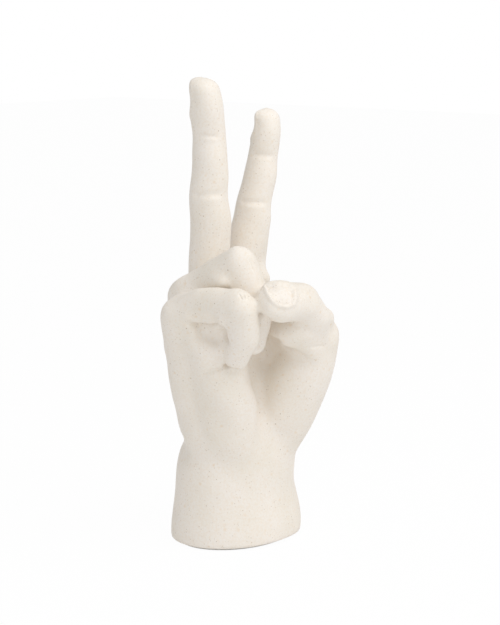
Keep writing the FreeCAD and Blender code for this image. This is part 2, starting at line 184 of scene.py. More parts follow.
# Flesh that the folded digits press up: places in millimetres, each with a radius.
PRESSED_FLESH = {
    "under the little finger": [(-38.6, -7.2, 104.5, 7), (-34.7, -13.9, 102.8, 8), (-32, -18.5, 102.5, 7)],
    "in the little finger's bend": [(-31.7, -18, 107.8, 6.5), (-31.6, -20.2, 105.6, 6)],
    "under the thumb": [(8, -22.5, 103.4, 6.5), (8, -31.7, 101, 8.5), (10.4, -39.4, 97.1, 8)],
    "behind the thumb's tip": [(8.1, -37.4, 100.2, 8.5), (1.7, -38.9, 107.6, 8), (-2.2, -34.7, 106.2, 8),
                               (-3.3, -29.8, 107.3, 6)],
    "beside the thumb's joint": [(15.5, -41.5, 103.5, 7.3), (14, -40.6, 108.6, 9.3)],
}
STRAIGHT = ("middle", "index")
FIRST_FREE_BONE = {"middle": 1, "index": 1, "ring": 1, "little": 1, "thumb": 2}

# Each digit's bones from the knuckle out: lengths in millimetres, then bends towards the
# palm and leans towards the thumb's side, both in degrees.
BONES = {
    "middle": [(46.3, 0.8, -1.9), (29, 3, -1.5), (30.3, 3, -13.5)],
    "index": [(42.6, 2.9, 9), (23.6, 5.6, 11), (26, 7, 1.5)],
    "ring": [(36.2, 58.5, 1.6), (22.5, 154.8, 6.4), (24.5, 191.4, 6.6)],
    "little": [(35, 78.3, 3.3), (14.8, 182.9, 14), (20, 213.8, 14.9)],
    "thumb": [(61.5, 28.6, 4.5), (31.1, 16.8, -46.3), (28.5, 8, -81)],
}
# Which way each bone's breadth runs. The thumb is rolled so that its nail faces up and out.
SIDES = {
    "middle": [(1, -.1, .03)] * 3,
    "index": [(1, .05, -.14)] * 3,
    "ring": [(1, .05, 0), (1, .1, 0), (1, .15, 0)],
    "little": [(1, .05, 0), (1, .2, 0), (1, .4, 0)],
    "thumb": [(1, .3, 0), (.5, .75, -.3), (.1, .87, .5)],
}


def length(name, description, millimetres):
    """A size that a user can set."""
    return FloatProperty(name=name, description=description, default=millimetres * MM, unit="LENGTH")


def shade(name, description, value):
    """A colour that a user can set."""
    return FloatVectorProperty(name=name, description=description, default=value, subtype="COLOR",
                               size=3, min=0, max=1)


class HandSizes(PropertyGroup):
    """Driving sizes of the hand."""
    wrist_breadth: length("Wrist breadth", "Breadth of the foot", 72.6)
    wrist_depth: length("Wrist depth", "Depth of the foot", 58)
    palm_breadth: length("Palm breadth", "Breadth of the palm's middle", 76)
    palm_depth: length("Palm depth", "Depth of the palm's middle", 36)
    hand_rise: length("Rise", "From the foot to the middle knuckle", 120.3)
    thenar_breadth: length("Thumb muscle", "Breadth of the thumb's muscle", 34)
    hypothenar_breadth: length("Outer muscle", "Breadth of the outer muscle", 31)
    web_span: length("Web span", "Span of the flesh beside the thumb", 44)
    web_thickness: length("Web thickness", "Thickness of the same flesh", 20)
    middle_breadth: length("Middle finger", "Breadth of the middle finger", 18.8)
    index_breadth: length("Index finger", "Breadth of the index finger", 17.8)
    ring_breadth: length("Ring finger", "Breadth of the ring finger", 18)
    little_breadth: length("Little finger", "Breadth of the little finger", 15.8)
    thumb_breadth: length("Thumb", "Breadth of the thumb", 19.4)
    palm_grain: length("Palm grain", "Mesh size while the palm is melted together", 1.4)
    skin_grain: length("Skin grain", "Mesh size of the finished skin", 1.05)


class HandColours(PropertyGroup):
    """Colours of the finishes."""
    clay: shade("Clay", "The ceramic body's colour", (.89, .838, .775))
    clay_warm: shade("Warm clay", "The ceramic's warmer clouds", (.85, .797, .715))
    brown_speck: shade("Brown specks", "The fine dark specks", (.36, .23, .13))
    tan_speck: shade("Tan specks", "The soft tan specks", (.78, .60, .39))
    felt: shade("Felt", "The felt's colour", (.88, .86, .82))
    floor: shade("Floor", "The floor's colour", (.93, .93, .93))


def sizes():
    """The scene's sizes by name, in millimetres."""
    held = bpy.context.scene.hand_sizes
    return {name: getattr(held, name) / MM for name in HandSizes.__annotations__}


def palm_place(shares, size):
    """A place that is given by its rise, its sideways and its dorsal share."""
    rise, sideways, dorsal = shares
    return Vector((sideways * size["palm_breadth"], dorsal * size["palm_depth"],
                   SKIN_LOW / MM + rise * size["hand_rise"]))


def heading(bend, lean):
    """The direction of a bone that bends and leans by so many degrees."""
    bend, lean = math.radians(bend), math.radians(lean)
    return Vector((math.sin(lean), -math.cos(lean) * math.sin(bend), math.cos(lean) * math.cos(bend)))


def joints(digit, size):
    """The places of a digit's joints, from its knuckle, or the thumb's heel, to its tip."""
    shares = HEEL_SHARES[digit] if digit == "thumb" else KNUCKLE_SHARES[digit]
    places = [palm_place(shares, size)]
    for reach, bend, lean in BONES[digit]:
        places.append(places[-1] + heading(bend, lean) * reach)
    return places


def smooth_run(rows, steps):
    """More stations between the given ones, on a smooth curve through them all."""
    rows = [np.array(row, float) for row in rows]
    run = []
    for number in range(len(rows) - 1):
        before, start = rows[max(number - 1, 0)], rows[number]
        end, after = rows[number + 1], rows[min(number + 2, len(rows) - 1)]
        for step in range(steps):
            t = step / steps
            run.append(start + (end - before) * t / 2
                       + (before - start * 2.5 + end * 2 - after / 2) * t ** 2
                       + (start * 1.5 - end * 1.5 + after / 2 - before / 2) * t ** 3)
    return run + [rows[-1]]


# How finely a limb is drawn, and the height of the domes at its ends over its mean radius.
RING_SIDES = 32
DOME_RINGS = 6
STEPS_BETWEEN_STATIONS = 3
POLE_ANGLE = 87
DOME_SHARE, FOOT_DOME_SHARE, KNUCKLE_DOME_SHARE, FINGERTIP_DOME_SHARE = .9, .1, .5, 1
# How many of a folded digit's first stations are melted into the palm as well.
ROOT_STATIONS = 2


def ring_matrix(place, way, side, half_breadth, half_depth):
    """Where a unit circle goes to become one station of a limb."""
    across = (side - way * side.dot(way)).normalized()
    through = way.cross(across)
    columns = (across * half_breadth, through * half_depth, way, place)
    return Matrix([[column[row] for column in columns] for row in range(3)] + [[0, 0, 0, 1]])


def limb(bm, rows, side, start_dome=DOME_SHARE, end_dome=DOME_SHARE):
    """One closed limb: elliptical rings along smooth stations, with a dome at each end."""
    run = smooth_run(rows, STEPS_BETWEEN_STATIONS)
    places = [Vector(row[:3]) for row in run]
    rings = []
    for number, row in enumerate(run):
        ahead, behind = min(number + 1, len(run) - 1), max(number - 1, 0)
        rings.append((places[number], (places[ahead] - places[behind]).normalized(), row[3], row[4]))

    def dome(ring, reach):
        place, way, half_breadth, half_depth = ring
        height = reach * (half_breadth + half_depth) / 2
        domed = []
        for step in range(1, DOME_RINGS + 1):
            angle = math.radians(min(90 * step / DOME_RINGS, POLE_ANGLE))
            domed.append((place + way * height * math.sin(angle), way,
                          half_breadth * math.cos(angle), half_depth * math.cos(angle)))
        return domed

    rings = dome(rings[0], -start_dome)[::-1] + rings + dome(rings[-1], end_dome)
    made = []
    for number, (place, way, half_breadth, half_depth) in enumerate(rings):
        capped = number in (0, len(rings) - 1)
        ring = bmesh.ops.create_circle(
            bm, cap_ends=capped, segments=RING_SIDES, radius=1,
            matrix=ring_matrix(place, way, Vector(side), half_breadth, half_depth))
        made.append(list({edge for vert in ring["verts"] for edge in vert.link_edges}))
        if number:
            bmesh.ops.bridge_loops(bm, edges=made[-2] + made[-1])


def palm_stations(rows, breadth, depth, size):
    """Level stations in the wrist or palm."""
    return [(*palm_place(row[:3], size), row[3] * breadth, row[4] * depth) for row in rows]


def bone_axes(digit, bone, share, size):
    """A place along a bone, with the bone's direction, its side and its back."""
    start = joints(digit, size)[bone - 1]
    reach, bend, lean = BONES[digit][bone - 1]
    way = heading(bend, lean)
    side = Vector(SIDES[digit][bone - 1])
    across = (side - way * side.dot(way)).normalized()
    return start + way * reach * share, way, across, way.cross(across)


def bone_rows(digit, bone, size, rows):
    """Stations along one of a digit's bones, where bone 1 starts at the knuckle."""
    breadth = size[f"{digit}_breadth"]
    stations = []
    for share, half_breadth, half_depth, *push in rows:
        place = bone_axes(digit, bone, share, size)[0] - Vector((0, sum(push) * breadth, 0))
        stations.append((*place, half_breadth * breadth, half_depth * breadth))
    return stations


def ray(bm, digit, size):
    """The flesh over a digit's bone in the palm."""
    if digit == "thumb":
        breadth = size["thenar_breadth"]
        start, end = joints(digit, size)[:2]
    else:
        breadth = size[f"{digit}_breadth"]
        start, end = palm_place(HEEL_SHARES[digit], size), joints(digit, size)[0]
    stations = []
    for share, half_breadth, half_depth in RAY_SHARES[digit]:
        stations.append((*start.lerp(end, share), half_breadth * breadth, half_depth * breadth))
    limb(bm, stations, SIDES[digit][0])


def palm_mesh(size):
    """The wrist, the palm and the roots of the digits, still as separate limbs."""
    bm = bmesh.new()
    core = palm_stations(WRIST_SHARES, size["wrist_breadth"], size["wrist_depth"], size)
    core += palm_stations(PALM_SHARES, size["palm_breadth"], size["palm_depth"], size)
    limb(bm, core, (1, 0, 0), FOOT_DOME_SHARE, KNUCKLE_DOME_SHARE)
    muscle = size["hypothenar_breadth"]
    limb(bm, palm_stations(HYPOTHENAR_SHARES, muscle, muscle, size), (1, 0, 0))
    limb(bm, palm_stations(WEB_SHARES, size["web_span"], size["web_thickness"], size), (0, 1, 0))
    for digit in RAY_SHARES:
        ray(bm, digit, size)
    for stations in PRESSED_FLESH.values():
        limb(bm, [(*station, station[-1]) for station in stations], (0, 0, 1))
    for digit in STRAIGHT:
        limb(bm, bone_rows(digit, 1, size, BONE_SHARES[digit][0]), SIDES[digit][0])
    for digit in ("ring", "little", "thumb"):
        bone = FIRST_FREE_BONE[digit]
        root = BONE_SHARES[digit][0][:ROOT_STATIONS]
        limb(bm, bone_rows(digit, bone, size, root), SIDES[digit][bone - 1])
    return bm


def digit_limbs(bm, digit, size):
    """The free bones of a digit: one limb for a straight finger, one for each bone of a folded one."""
    first = FIRST_FREE_BONE[digit]
    chains = [bone_rows(digit, first + number, size, rows)
              for number, rows in enumerate(BONE_SHARES[digit])]
    if digit in STRAIGHT:
        limb(bm, sum(chains, []), SIDES[digit][0], end_dome=FINGERTIP_DOME_SHARE)
        return
    for number, chain in enumerate(chains):
        limb(bm, chain, SIDES[digit][first + number - 1])


# Rounds of smoothing after each melting, and how far a vertex then moves to its neighbours.
PALM_SMOOTHING, SKIN_SMOOTHING = 14, 4
SMOOTHING_FACTOR = .5


def mesh_of(bm, name):
    """A mesh from a bmesh, which is freed."""
    mesh = bpy.data.meshes.new(name)
    bm.to_mesh(mesh)
    bm.free()
    return mesh


def linked(name, data):
    """A new object in the scene."""
    item = bpy.data.objects.new(name, data)
    bpy.context.scene.collection.objects.link(item)
    return item


def melt(bm, grain, rounds):
    """Melts every limb in a mesh into one closed skin of even quads, and smooths it."""
    mesh = mesh_of(bm, "melting")
    item = linked("melting", mesh)
    remesh = item.modifiers.new("remesh", "REMESH")
    remesh.mode = "VOXEL"
    remesh.voxel_size = grain
    remesh.adaptivity = 0
    smooth = item.modifiers.new("smooth", "SMOOTH")
    smooth.factor = SMOOTHING_FACTOR
    smooth.iterations = rounds
    shown = item.evaluated_get(bpy.context.evaluated_depsgraph_get())
    melted = bmesh.new()
    melted.from_mesh(shown.to_mesh())
    shown.to_mesh_clear()
    bpy.data.objects.remove(item)
    bpy.data.meshes.remove(mesh)
    return melted


def view_axes():
    """The camera's backward, right and up directions."""
    azimuth, elevation = math.radians(CAMERA_AZIMUTH), math.radians(CAMERA_ELEVATION)
    back = Vector((math.sin(azimuth) * math.cos(elevation), -math.cos(azimuth) * math.cos(elevation),
                   math.sin(elevation)))
    right = Vector((math.cos(azimuth), math.sin(azimuth), 0))
    return back, right, back.cross(right)


def camera_place():
    """Where the camera stands, in metres."""
    return CAMERA_TARGET + view_axes()[0] * CAMERA_DISTANCE


# How far a line and a round brush reach, over their width and radius.
LINE_REACH, BRUSH_REACH = 3, 2.2
# A nail in millimetres: its edge, the fold round it, its depth and how far the skin is worked.
NAIL_EDGE, NAIL_FOLD, NAIL_DEPTH, NAIL_REACH = .4, 1.1, .85, 13
# The extra depth of a nail's edge, over the nail's own.
NAIL_EDGE_SHARE = .8


class Sculpt:
    """Pushes the skin's vertices about, as a sculptor's tool would."""

    def __init__(self, bm):
        self.bm = bm
        self.refresh()

    def refresh(self):
        """Reads the skin again, after its vertices or faces have changed."""
        self.bm.normal_update()
        self.bm.verts.ensure_lookup_table()
        self.tree = BVHTree.FromBMesh(self.bm)
        self.places = np.array([vert.co for vert in self.bm.verts])
        self.normals = np.array([vert.normal for vert in self.bm.verts])

    def seen(self, pixel):
        """The skin's point under a pixel of the photograph."""
        back, right, up = view_axes()
        across, down = pixel[0] - PICTURE_WIDTH / 2, pixel[1] - PICTURE_HEIGHT / 2
        way = (right * across - up * down) / FOCAL_PIXELS - back
        place = self.tree.ray_cast(camera_place() / MM, way.normalized())[0]
        if place is None:
            raise RuntimeError(f"no skin lies under the pixel {pixel}")
        return place

    def cast(self, place, way):
        """The skin's point that lies straight out from a place inside it."""
        return self.tree.ray_cast(place, way.normalized())[0]

    def pixels(self, numbers):
        """Where vertices show in the photograph's frame."""
        back, right, up = (np.array(axis) for axis in view_axes())
        apart = self.places[numbers] - np.array(camera_place() / MM)
        scale = FOCAL_PIXELS / -(apart @ back)
        return np.stack([PICTURE_WIDTH / 2 + apart @ right * scale,
                         PICTURE_HEIGHT / 2 - apart @ up * scale], axis=1)

    def along(self, points, reach):
        """Vertices near a line: their numbers, distances, and place along it from 0 to 1."""
        points = np.array([tuple(point) for point in points])
        low, high = points.min(0) - reach, points.max(0) + reach
        near = np.flatnonzero(((self.places > low) & (self.places < high)).all(1))
        best = np.full(len(near), np.inf)
        share = np.zeros(len(near))
        runs = np.linalg.norm(np.diff(points, axis=0), axis=1)
        total, walked = max(runs.sum(), 1e-9), 0
        for start, end, run in zip(points[:-1], points[1:], runs):
            way = (end - start) / max(run, 1e-9)
            t = np.clip((self.places[near] - start) @ way, 0, run)
            distance = np.linalg.norm(self.places[near] - (start + t[:, None] * way), axis=1)
            closer = distance < best
            best[closer] = distance[closer]
            share[closer] = ((walked + t) / total)[closer]
            walked += run
        keep = best < reach
        return near[keep], best[keep], share[keep]

    def move(self, numbers, offsets):
        """Moves vertices by the given offsets."""
        self.places[numbers] += offsets
        for number in numbers:
            self.bm.verts[number].co = self.places[number]

    def press(self, numbers, depths):
        """Moves vertices into the skin by the given depths."""
        self.move(numbers, -self.normals[numbers] * depths[:, None])

    def groove(self, points, width, depth, ends=.25):
        """Presses a line into the skin, or raises it where the depth is negative. It fades out
        over a share of its length at both ends."""
        numbers, distance, share = self.along(points, width * LINE_REACH)
        fade = np.clip(np.minimum(share, 1 - share) / ends, 0, 1)
        fade = fade * fade * (3 - 2 * fade)
        self.press(numbers, depth * np.exp(-(distance / width) ** 2) * fade)

    def swell(self, place, radius, height):
        """Raises a soft round."""
        numbers, distance, _ = self.along([place, place], radius * BRUSH_REACH)
        self.press(numbers, -height * np.exp(-(distance / radius) ** 2))

    def push(self, pixel, radius, right, up=0, near=0):
        """Moves the skin under a pixel by millimetres to the right, up and towards the camera."""
        back, across, rise = view_axes()
        centre = self.seen(pixel)
        numbers, distance, _ = self.along([centre, centre], radius * BRUSH_REACH)
        offset = np.array(across * right + rise * up + back * near)
        self.move(numbers, np.exp(-(distance / radius) ** 2)[:, None] * offset)

    def nail(self, numbers, distance, depth):
        """Sinks a nail's plate. The distances run from its outline, negative inside: the plate is
        level, its edge is crisp and the skin folds up round it."""
        inside = np.clip(-distance / NAIL_EDGE, 0, 1)
        inside = inside * inside * (3 - 2 * inside)
        line = np.exp(-(distance / NAIL_EDGE) ** 2)
        fold = np.exp(-((distance - NAIL_FOLD) / NAIL_FOLD) ** 2)
        self.press(numbers, depth * (inside + NAIL_EDGE_SHARE * line - fold))

    def soften(self, points, reach, rounds):
        """Smooths the skin near a line."""
        numbers, _, _ = self.along(points, reach)
        verts = [self.bm.verts[number] for number in numbers]
        for _ in range(rounds):
            bmesh.ops.smooth_vert(self.bm, verts=verts, factor=SMOOTHING_FACTOR, use_axis_x=True,
                                  use_axis_y=True, use_axis_z=True)
        self.refresh()

    def refine(self, lines, reach):
        """Splits the faces near some lines in four, so that they can hold fine detail."""
        verts = set()
        for line in lines:
            verts |= {self.bm.verts[number] for number in self.along(line, reach)[0]}
        edges = [edge for edge in self.bm.edges if edge.verts[0] in verts and edge.verts[1] in verts]
        bmesh.ops.subdivide_edges(self.bm, edges=edges, cuts=1, use_grid_fill=True)
        self.refresh()


# Corrections of the forms as the camera sees them: a pixel, a radius, then millimetres to the
# right, up and towards the camera, as far as there are any.
FORM_PUSHES = {
    "middle fingertip": ((194, 81), 4.5, -1, 1),
    "middle finger, side of end bone": ((192, 100), 6, .7),
    "index fingertip": ((264, 112), 5, -2.2, .1),
    "index finger, inner end joint": ((250, 154), 5, -.4),
    "index finger, outer side by the web": ((266, 220), 7, 1.2),
    "index finger, outer root": ((264, 262), 7, -2),
    "index finger, outer middle bone": ((273, 178), 8, .7),
    "middle finger, middle bone's waist": ((194, 163), 7, .7),
    "middle finger, outer middle bone": ((225, 178), 7, 1.1),
    "middle finger, inner root": ((191, 238), 10, 1),
    "middle finger, pad above the web": ((226, 221), 10, 1.8),
    "index finger, inner side by the web": ((237, 228), 8, -.9),
    "ring finger, middle knuckle": ((239, 252), 6, -.9, 2, .4),
    "ring finger, first bone's back": ((206, 270), 9, -.3, 1),
    "ring finger, knuckle's outer corner": ((250, 257), 4, .6, .6),
    "ring fingertip": ((262, 344), 6, -3.4, .3),
    "ring finger, side of end bone": ((267, 327), 6, -2.2),
    "ring finger, knuckle": ((180, 283), 5, -1.6, .3),
    "little finger, first bone's back": ((212, 296), 9, 0, 2.6, .5),
    "little finger, back by its root": ((195, 297), 7, 0, 2.3, .6),
    "little finger, middle knuckle": ((240, 295), 6, 0, 1.9, .4),
    "little finger, root": ((170, 299), 5, .3, -1.6),
    "little finger, side of middle bone": ((255, 331), 8, 1.3),
    "flesh between the folded fingers": ((214, 285), 6, 0, 0, 3),
    "flesh in the ring finger's bend": ((224, 285), 5, 0, 0, 4),
    "fold beside the index finger": ((264, 277), 4.5, 3.4, -.8),
    "thumb tip, top": ((271, 284), 4, .3, -.5),
    "thumb tip, heel of the pad": ((281, 316), 8, 0, -1.7),
    "thumb tip, front of the pad": ((264, 309), 6, .3, -1.5),
    "thumb's middle knuckle": ((309, 289), 6, .5, .5),
    "thumb, below the middle knuckle": ((316, 298), 5, -.8),
    "thumb's muscle beside its knuckle": ((334, 340), 12, -3),
    "flesh beside the thumb": ((328, 319), 6, 2.2),
    "hand's outer edge, upper": ((173, 384), 9, -.9),
    "hand's outer edge, middle": ((177, 405), 5, -.7),
    "hand's outer edge, lower": ((179, 422), 10, 1.7),
    "wrist bone": ((183, 446), 7, 1.7),
    "below the wrist bone": ((182, 456), 5, .9),
    "wrist, outer side": ((291, 470), 8, .9),
    "foot, outer side": ((296, 524), 9, .9),
}
# Parts of the melted skin that are smoothed first: a pixel, a reach in millimetres and rounds.
SMOOTHED = {
    "inner bend of the little finger": ((222, 334), 6, 15),
    "beside the thumb's muscle": ((318, 350), 9, 40),
}
# Soft hollows and rounds under the camera's eye: pixels along each, its width and its depth in
# millimetres, and the share of its length over which it fades out.
SOFT_FORMS = {
    "valley between the palm's muscles": (
        [(252, 362), (251, 380), (257, 395), (259, 415), (262, 440), (268, 458)], 5, 1.3, .3),
    "hollow of the outer muscle": ([(203, 392), (211, 413), (223, 434), (229, 446)], 6, .8, .4),
    "ridge of the outer muscle": ([(214, 388), (229, 405), (245, 418)], 6, -.7, .4),
    "hollow under the little finger": ([(190, 331), (203, 335), (215, 340), (225, 346)], 4.5, 3, .35),
    "underside of the little finger": ([(185, 321), (197, 322), (210, 322.6), (221, 322)], 4.2, 2.4, .3),
    "heel of the palm": ([(262, 472), (276, 480), (286, 482)], 6, -.5, .4),
    "hollow above the thumb's side of the wrist": ([(266, 428), (276, 438), (288, 446)], 7, .9, .4),
    "hollow of the wrist": ([(205, 468), (230, 478), (252, 482)], 8, .8, .4),
    "fold between the thumb and its muscle": (
        [(270, 337), (277, 341), (284, 346), (293, 351), (303, 357), (311, 363), (317, 369)], 2.2, 1.7, .3),
    "edge behind the thumb": ([(322, 304), (327, 312), (331, 326), (334, 345)], 1.5, .6, .3),
}
# Pads and other soft rounds: a pixel, a radius and a height in millimetres.
PADS = {
    "middle finger, first bone": ((216, 211), 7, .55),
    "middle finger, middle bone": ((216, 160), 8, .35),
    "middle fingertip": ((212, 112), 9, .45),
    "index finger, first bone": ((258, 216), 6, .45),
    "index finger, middle bone": ((264, 174), 7, .3),
    "index fingertip": ((268, 134), 7, .35),
    "palm below the little finger": ((202, 360), 7, 1.6),
}
# Creases, in the same way as the soft forms.
CREASES = {
    "under the little finger": (
        [(178, 321.5), (186, 323.4), (192, 325), (200, 326.6), (210, 326.8), (218, 326.4), (223.5, 329.5),
         (226.5, 336), (228.5, 344), (229, 350)], 1.4, 3, .3),
    "under the little fingertip": ([(222, 364.4), (227, 367), (232, 369), (238, 369.6)], .95, 3, .25),
    "palm": ([(227, 367), (217, 369.6), (208, 373), (200, 376.4)], .8, .9, .3),
    "below the palm's crease": ([(224, 371.4), (214, 374.6), (204, 378.4)], 1.3, -.35, .35),
    "thumb's muscle": ([(303, 347), (316, 347), (329, 345)], .8, .35, .35),
    "middle finger, end joint": ([(194, 136.5), (203, 136), (212, 136.4), (221, 137.4)], .9, .38, .25),
    "middle finger, below the end joint": ([(200, 139.6), (211, 139.5), (221, 140.6)], 1.2, -.2, .3),
    "middle finger, middle joint": ([(192, 196), (202, 195.4), (213, 194.8), (224, 194)], 1.7, .55, .2),
    "middle finger, below the middle joint": ([(198, 200), (211, 199.5), (224, 198.5)], 2.2, -.25, .25),
    "index finger, end joint": ([(251, 154.5), (260, 155.4), (268, 156), (275, 156)], 1.6, .48, .2),
    "index finger, below the end joint": ([(253, 159.4), (265, 160.2), (274, 160)], 2.2, -.22, .25),
    "index finger, middle joint": ([(240, 201.6), (249, 202.4), (258, 202.8), (267, 203.4)], 1.5, .6, .2),
    "index finger, below the middle joint": ([(243, 206), (256, 206.6), (267, 207)], 2.2, -.28, .25),
    "ring finger, middle knuckle": ([(242, 250), (250, 262), (256, 276)], .4, .18, .35),
}
# Short wrinkles over the middle knuckles of the thumb and the little finger: pixels along each,
# and what they share.
THUMB_WRINKLES = [[(300, 293), (303, 300.5)], [(303.5, 291), (306.5, 298.8)],
                  [(307, 290), (310, 297)], [(310.4, 290), (312.6, 295.4)]]
LITTLE_WRINKLES = [[(238.5, 293), (242.5, 301)], [(242, 292.4), (246, 300.6)],
                   [(245.4, 293), (249, 301)], [(248.6, 295), (251.4, 300)]]
WRINKLE_WIDTH, WRINKLE_DEPTH, WRINKLE_FADE = .48, .6, .35
# Wrinkles on the backs of the raised fingers: bone, share of its length, how steeply the line
# reaches round the finger, then its sag, width and depth in millimetres.
JOINT_LINES = [
    (2, -.07, .6, .8, .5, .3), (2, -.015, .75, .8, .5, .4), (2, .045, .75, .8, .5, .4),
    (2, .105, .6, .8, .5, .3), (3, -.035, .6, .6, .45, .28), (3, .02, .6, .6, .45, .28),
]
JOINT_LINE_STEPS = (-1, -.6, -.25, 0, .25, .6, 1)
JOINT_LINE_FADE = .3
# Faces are split this near to every crease, and once more near those under the fine width.
CREASE_REACH, FINE_REACH, FINE_WIDTH = 2.4, 1.4, .6
# The back's tendons and the valleys between them: places over the bones, widths and depths.
BACK_SHARES = (.35, .55, .75, .92)
TENDON_WIDTH, TENDON_DEPTH = 2.6, -.45
VALLEY_WIDTH, VALLEY_DEPTH = 4, .8
BACK_FADE = .4
# A band round the wrist that is smoothed after the corrections.
WRIST_BLEND_PIXELS = [(186, 458), (210, 460), (235, 461), (260, 461), (285, 460)]
WRIST_BLEND_REACH, WRIST_BLEND_ROUNDS = 12, 30
# The nails: faces are split over these shares of a nail's reach, and only what faces outwards
# by the last number is pressed.
FINGERNAIL = {"start": .36, "end": .93, "half_breadth": .335, "squareness": 3.2, "depth": .55,
              "split": (.8, .72), "facing": .1}
THUMBNAIL = {"middle": (281, 294), "split": (.85, .78), "facing": -.15}
THUMBNAIL_PIXELS = [
    (267, 287), (269.6, 293), (273.6, 299), (279, 303.4), (287.5, 305), (293.4, 303.4), (295, 297),
    (293, 290.4), (288, 286), (281, 284.8), (272, 285.4),
]


def outline_distance(points, outline):
    """Distances from a closed outline in a picture, negative inside it."""
    outline = np.array(outline, float)
    best = np.full(len(points), np.inf)
    inside = np.zeros(len(points), bool)
    for start, end in zip(outline, np.roll(outline, -1, axis=0)):
        way = end - start
        t = np.clip((points - start) @ way / (way @ way), 0, 1)
        best = np.minimum(best, np.linalg.norm(points - (start + t[:, None] * way), axis=1))
        crosses = (start[1] > points[:, 1]) != (end[1] > points[:, 1])
        slope = way[0] / (way[1] or 1e-9)
        inside ^= crosses & (points[:, 0] < start[0] + (points[:, 1] - start[1]) * slope)
    return np.where(inside, -best, best)


def joint_line(sculpt, digit, bone, share, slope, sag, size):
    """A line across the back of a bone."""
    place, way, across, back = bone_axes(digit, bone, share, size)
    points = []
    for step in JOINT_LINE_STEPS:
        out = back + across * step * slope
        points.append(sculpt.cast(place - way * step ** 2 * sag, out))
    return points


def nail_bed(sculpt, nail, centre, way):
    """The vertices round a nail's middle that face a way, once the skin there is split."""
    for share in nail["split"]:
        sculpt.refine([[centre, centre]], NAIL_REACH * share)
    numbers, _, _ = sculpt.along([centre, centre], NAIL_REACH)
    return numbers[sculpt.normals[numbers] @ np.array(way) > nail["facing"]]


def fingernail(sculpt, digit, size):
    """The nail on the back of a raised fingertip."""
    middle = (FINGERNAIL["start"] + FINGERNAIL["end"]) / 2
    place, way, across, back = bone_axes(digit, 3, middle, size)
    centre = sculpt.cast(place, back)
    numbers = nail_bed(sculpt, FINGERNAIL, centre, back)
    half_length = BONES[digit][2][0] * (FINGERNAIL["end"] - FINGERNAIL["start"]) / 2
    half_breadth = size[f"{digit}_breadth"] * FINGERNAIL["half_breadth"]
    apart = sculpt.places[numbers] - np.array(centre)
    power = FINGERNAIL["squareness"]
    reach = (np.abs(apart @ np.array(way)) / half_length) ** power
    reach += (np.abs(apart @ np.array(across)) / half_breadth) ** power
    sculpt.nail(numbers, (reach ** (1 / power) - 1) * half_breadth, NAIL_DEPTH * FINGERNAIL["depth"])


def thumbnail(sculpt):
    """The thumb's nail, which the camera sees from its side."""
    numbers = nail_bed(sculpt, THUMBNAIL, sculpt.seen(THUMBNAIL["middle"]), view_axes()[0])
    millimetre = FOCAL_PIXELS / (CAMERA_DISTANCE / MM)
    distance = outline_distance(sculpt.pixels(numbers), THUMBNAIL_PIXELS) / millimetre
    sculpt.nail(numbers, distance, NAIL_DEPTH)


def back_of_hand(sculpt, size):
    """Tendons over the bones of the palm, and the valleys between them."""
    lines = {}
    for digit in KNUCKLE_SHARES:
        start, end = palm_place(HEEL_SHARES[digit], size), joints(digit, size)[0]
        lines[digit] = [start.lerp(end, share) for share in BACK_SHARES]
        tendon = [sculpt.cast(place, Vector((0, 1, 0))) for place in lines[digit]]
        sculpt.groove(tendon, TENDON_WIDTH, TENDON_DEPTH, BACK_FADE)
    for first, second in (("index", "middle"), ("middle", "ring"), ("ring", "little")):
        between = [(a + b) / 2 for a, b in zip(lines[first], lines[second])]
        valley = [sculpt.cast(place, Vector((0, 1, 0))) for place in between]
        sculpt.groove(valley, VALLEY_WIDTH, VALLEY_DEPTH, BACK_FADE)


def shape_forms(sculpt, size):
    """The large corrections and the soft forms."""
    for pixel, reach, rounds in SMOOTHED.values():
        place = sculpt.seen(pixel)
        sculpt.soften([place, place], reach, rounds)
    for row in FORM_PUSHES.values():
        sculpt.push(*row)
    sculpt.refresh()
    wrist = [sculpt.seen(pixel) for pixel in WRIST_BLEND_PIXELS]
    sculpt.soften(wrist, WRIST_BLEND_REACH, WRIST_BLEND_ROUNDS)
    for pixel, radius, height in PADS.values():
        sculpt.swell(sculpt.seen(pixel), radius, height)
    for pixels, width, depth, ends in SOFT_FORMS.values():
        sculpt.groove([sculpt.seen(pixel) for pixel in pixels], width, depth, ends)
    back_of_hand(sculpt, size)
    sculpt.refresh()


def carve_details(sculpt, size):
    """Creases, wrinkles and nails."""
    rows = list(CREASES.values())
    for pixels in THUMB_WRINKLES + LITTLE_WRINKLES:
        rows.append((pixels, WRINKLE_WIDTH, WRINKLE_DEPTH, WRINKLE_FADE))
    creases = [([sculpt.seen(pixel) for pixel in pixels], width, depth, ends)
               for pixels, width, depth, ends in rows]
    for digit in STRAIGHT:
        for bone, share, slope, sag, width, depth in JOINT_LINES:
            line = joint_line(sculpt, digit, bone, share, slope, sag, size)
            creases.append((line, width, depth, JOINT_LINE_FADE))
    sculpt.refine([line for line, _, _, _ in creases], CREASE_REACH)
    sculpt.refine([line for line, width, _, _ in creases if width < FINE_WIDTH], FINE_REACH)
    for line, width, depth, ends in creases:
        sculpt.groove(line, width, depth, ends)
    sculpt.refresh()
    thumbnail(sculpt)
    for digit in STRAIGHT:
        fingernail(sculpt, digit, size)


# In millimetres: the band that takes up what stands out of the box, and the foot's rounding.
BOX_BAND = 6
FOOT_ROUND = 1.0


